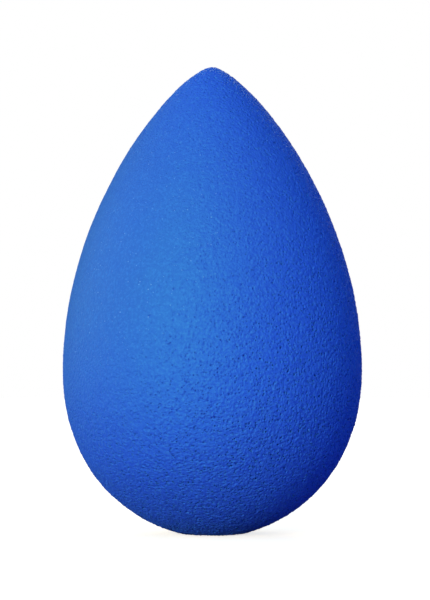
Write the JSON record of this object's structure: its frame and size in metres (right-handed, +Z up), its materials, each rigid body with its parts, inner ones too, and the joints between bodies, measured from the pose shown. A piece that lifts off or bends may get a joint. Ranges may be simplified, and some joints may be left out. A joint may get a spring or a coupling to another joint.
{
  "type": "makeup sponge",
  "caption": "Teardrop foam sponge with a pointed tip and a round base, for dabbing and blending make-up on the face.",
  "frame": {"origin": "centre of the small flat on the round end, which the sponge stands on", "axes": "+Z up along the axis of the teardrop, from the round end to the tip; the form is turned about Z, so X and Y are alike"},
  "size_m": [0.039, 0.039, 0.061],
  "materials": {
    "blue_foam": "matte"
  },
  "bodies": {
    "root": {"foam_body": "blue_foam"}
  },
  "joints": []
}
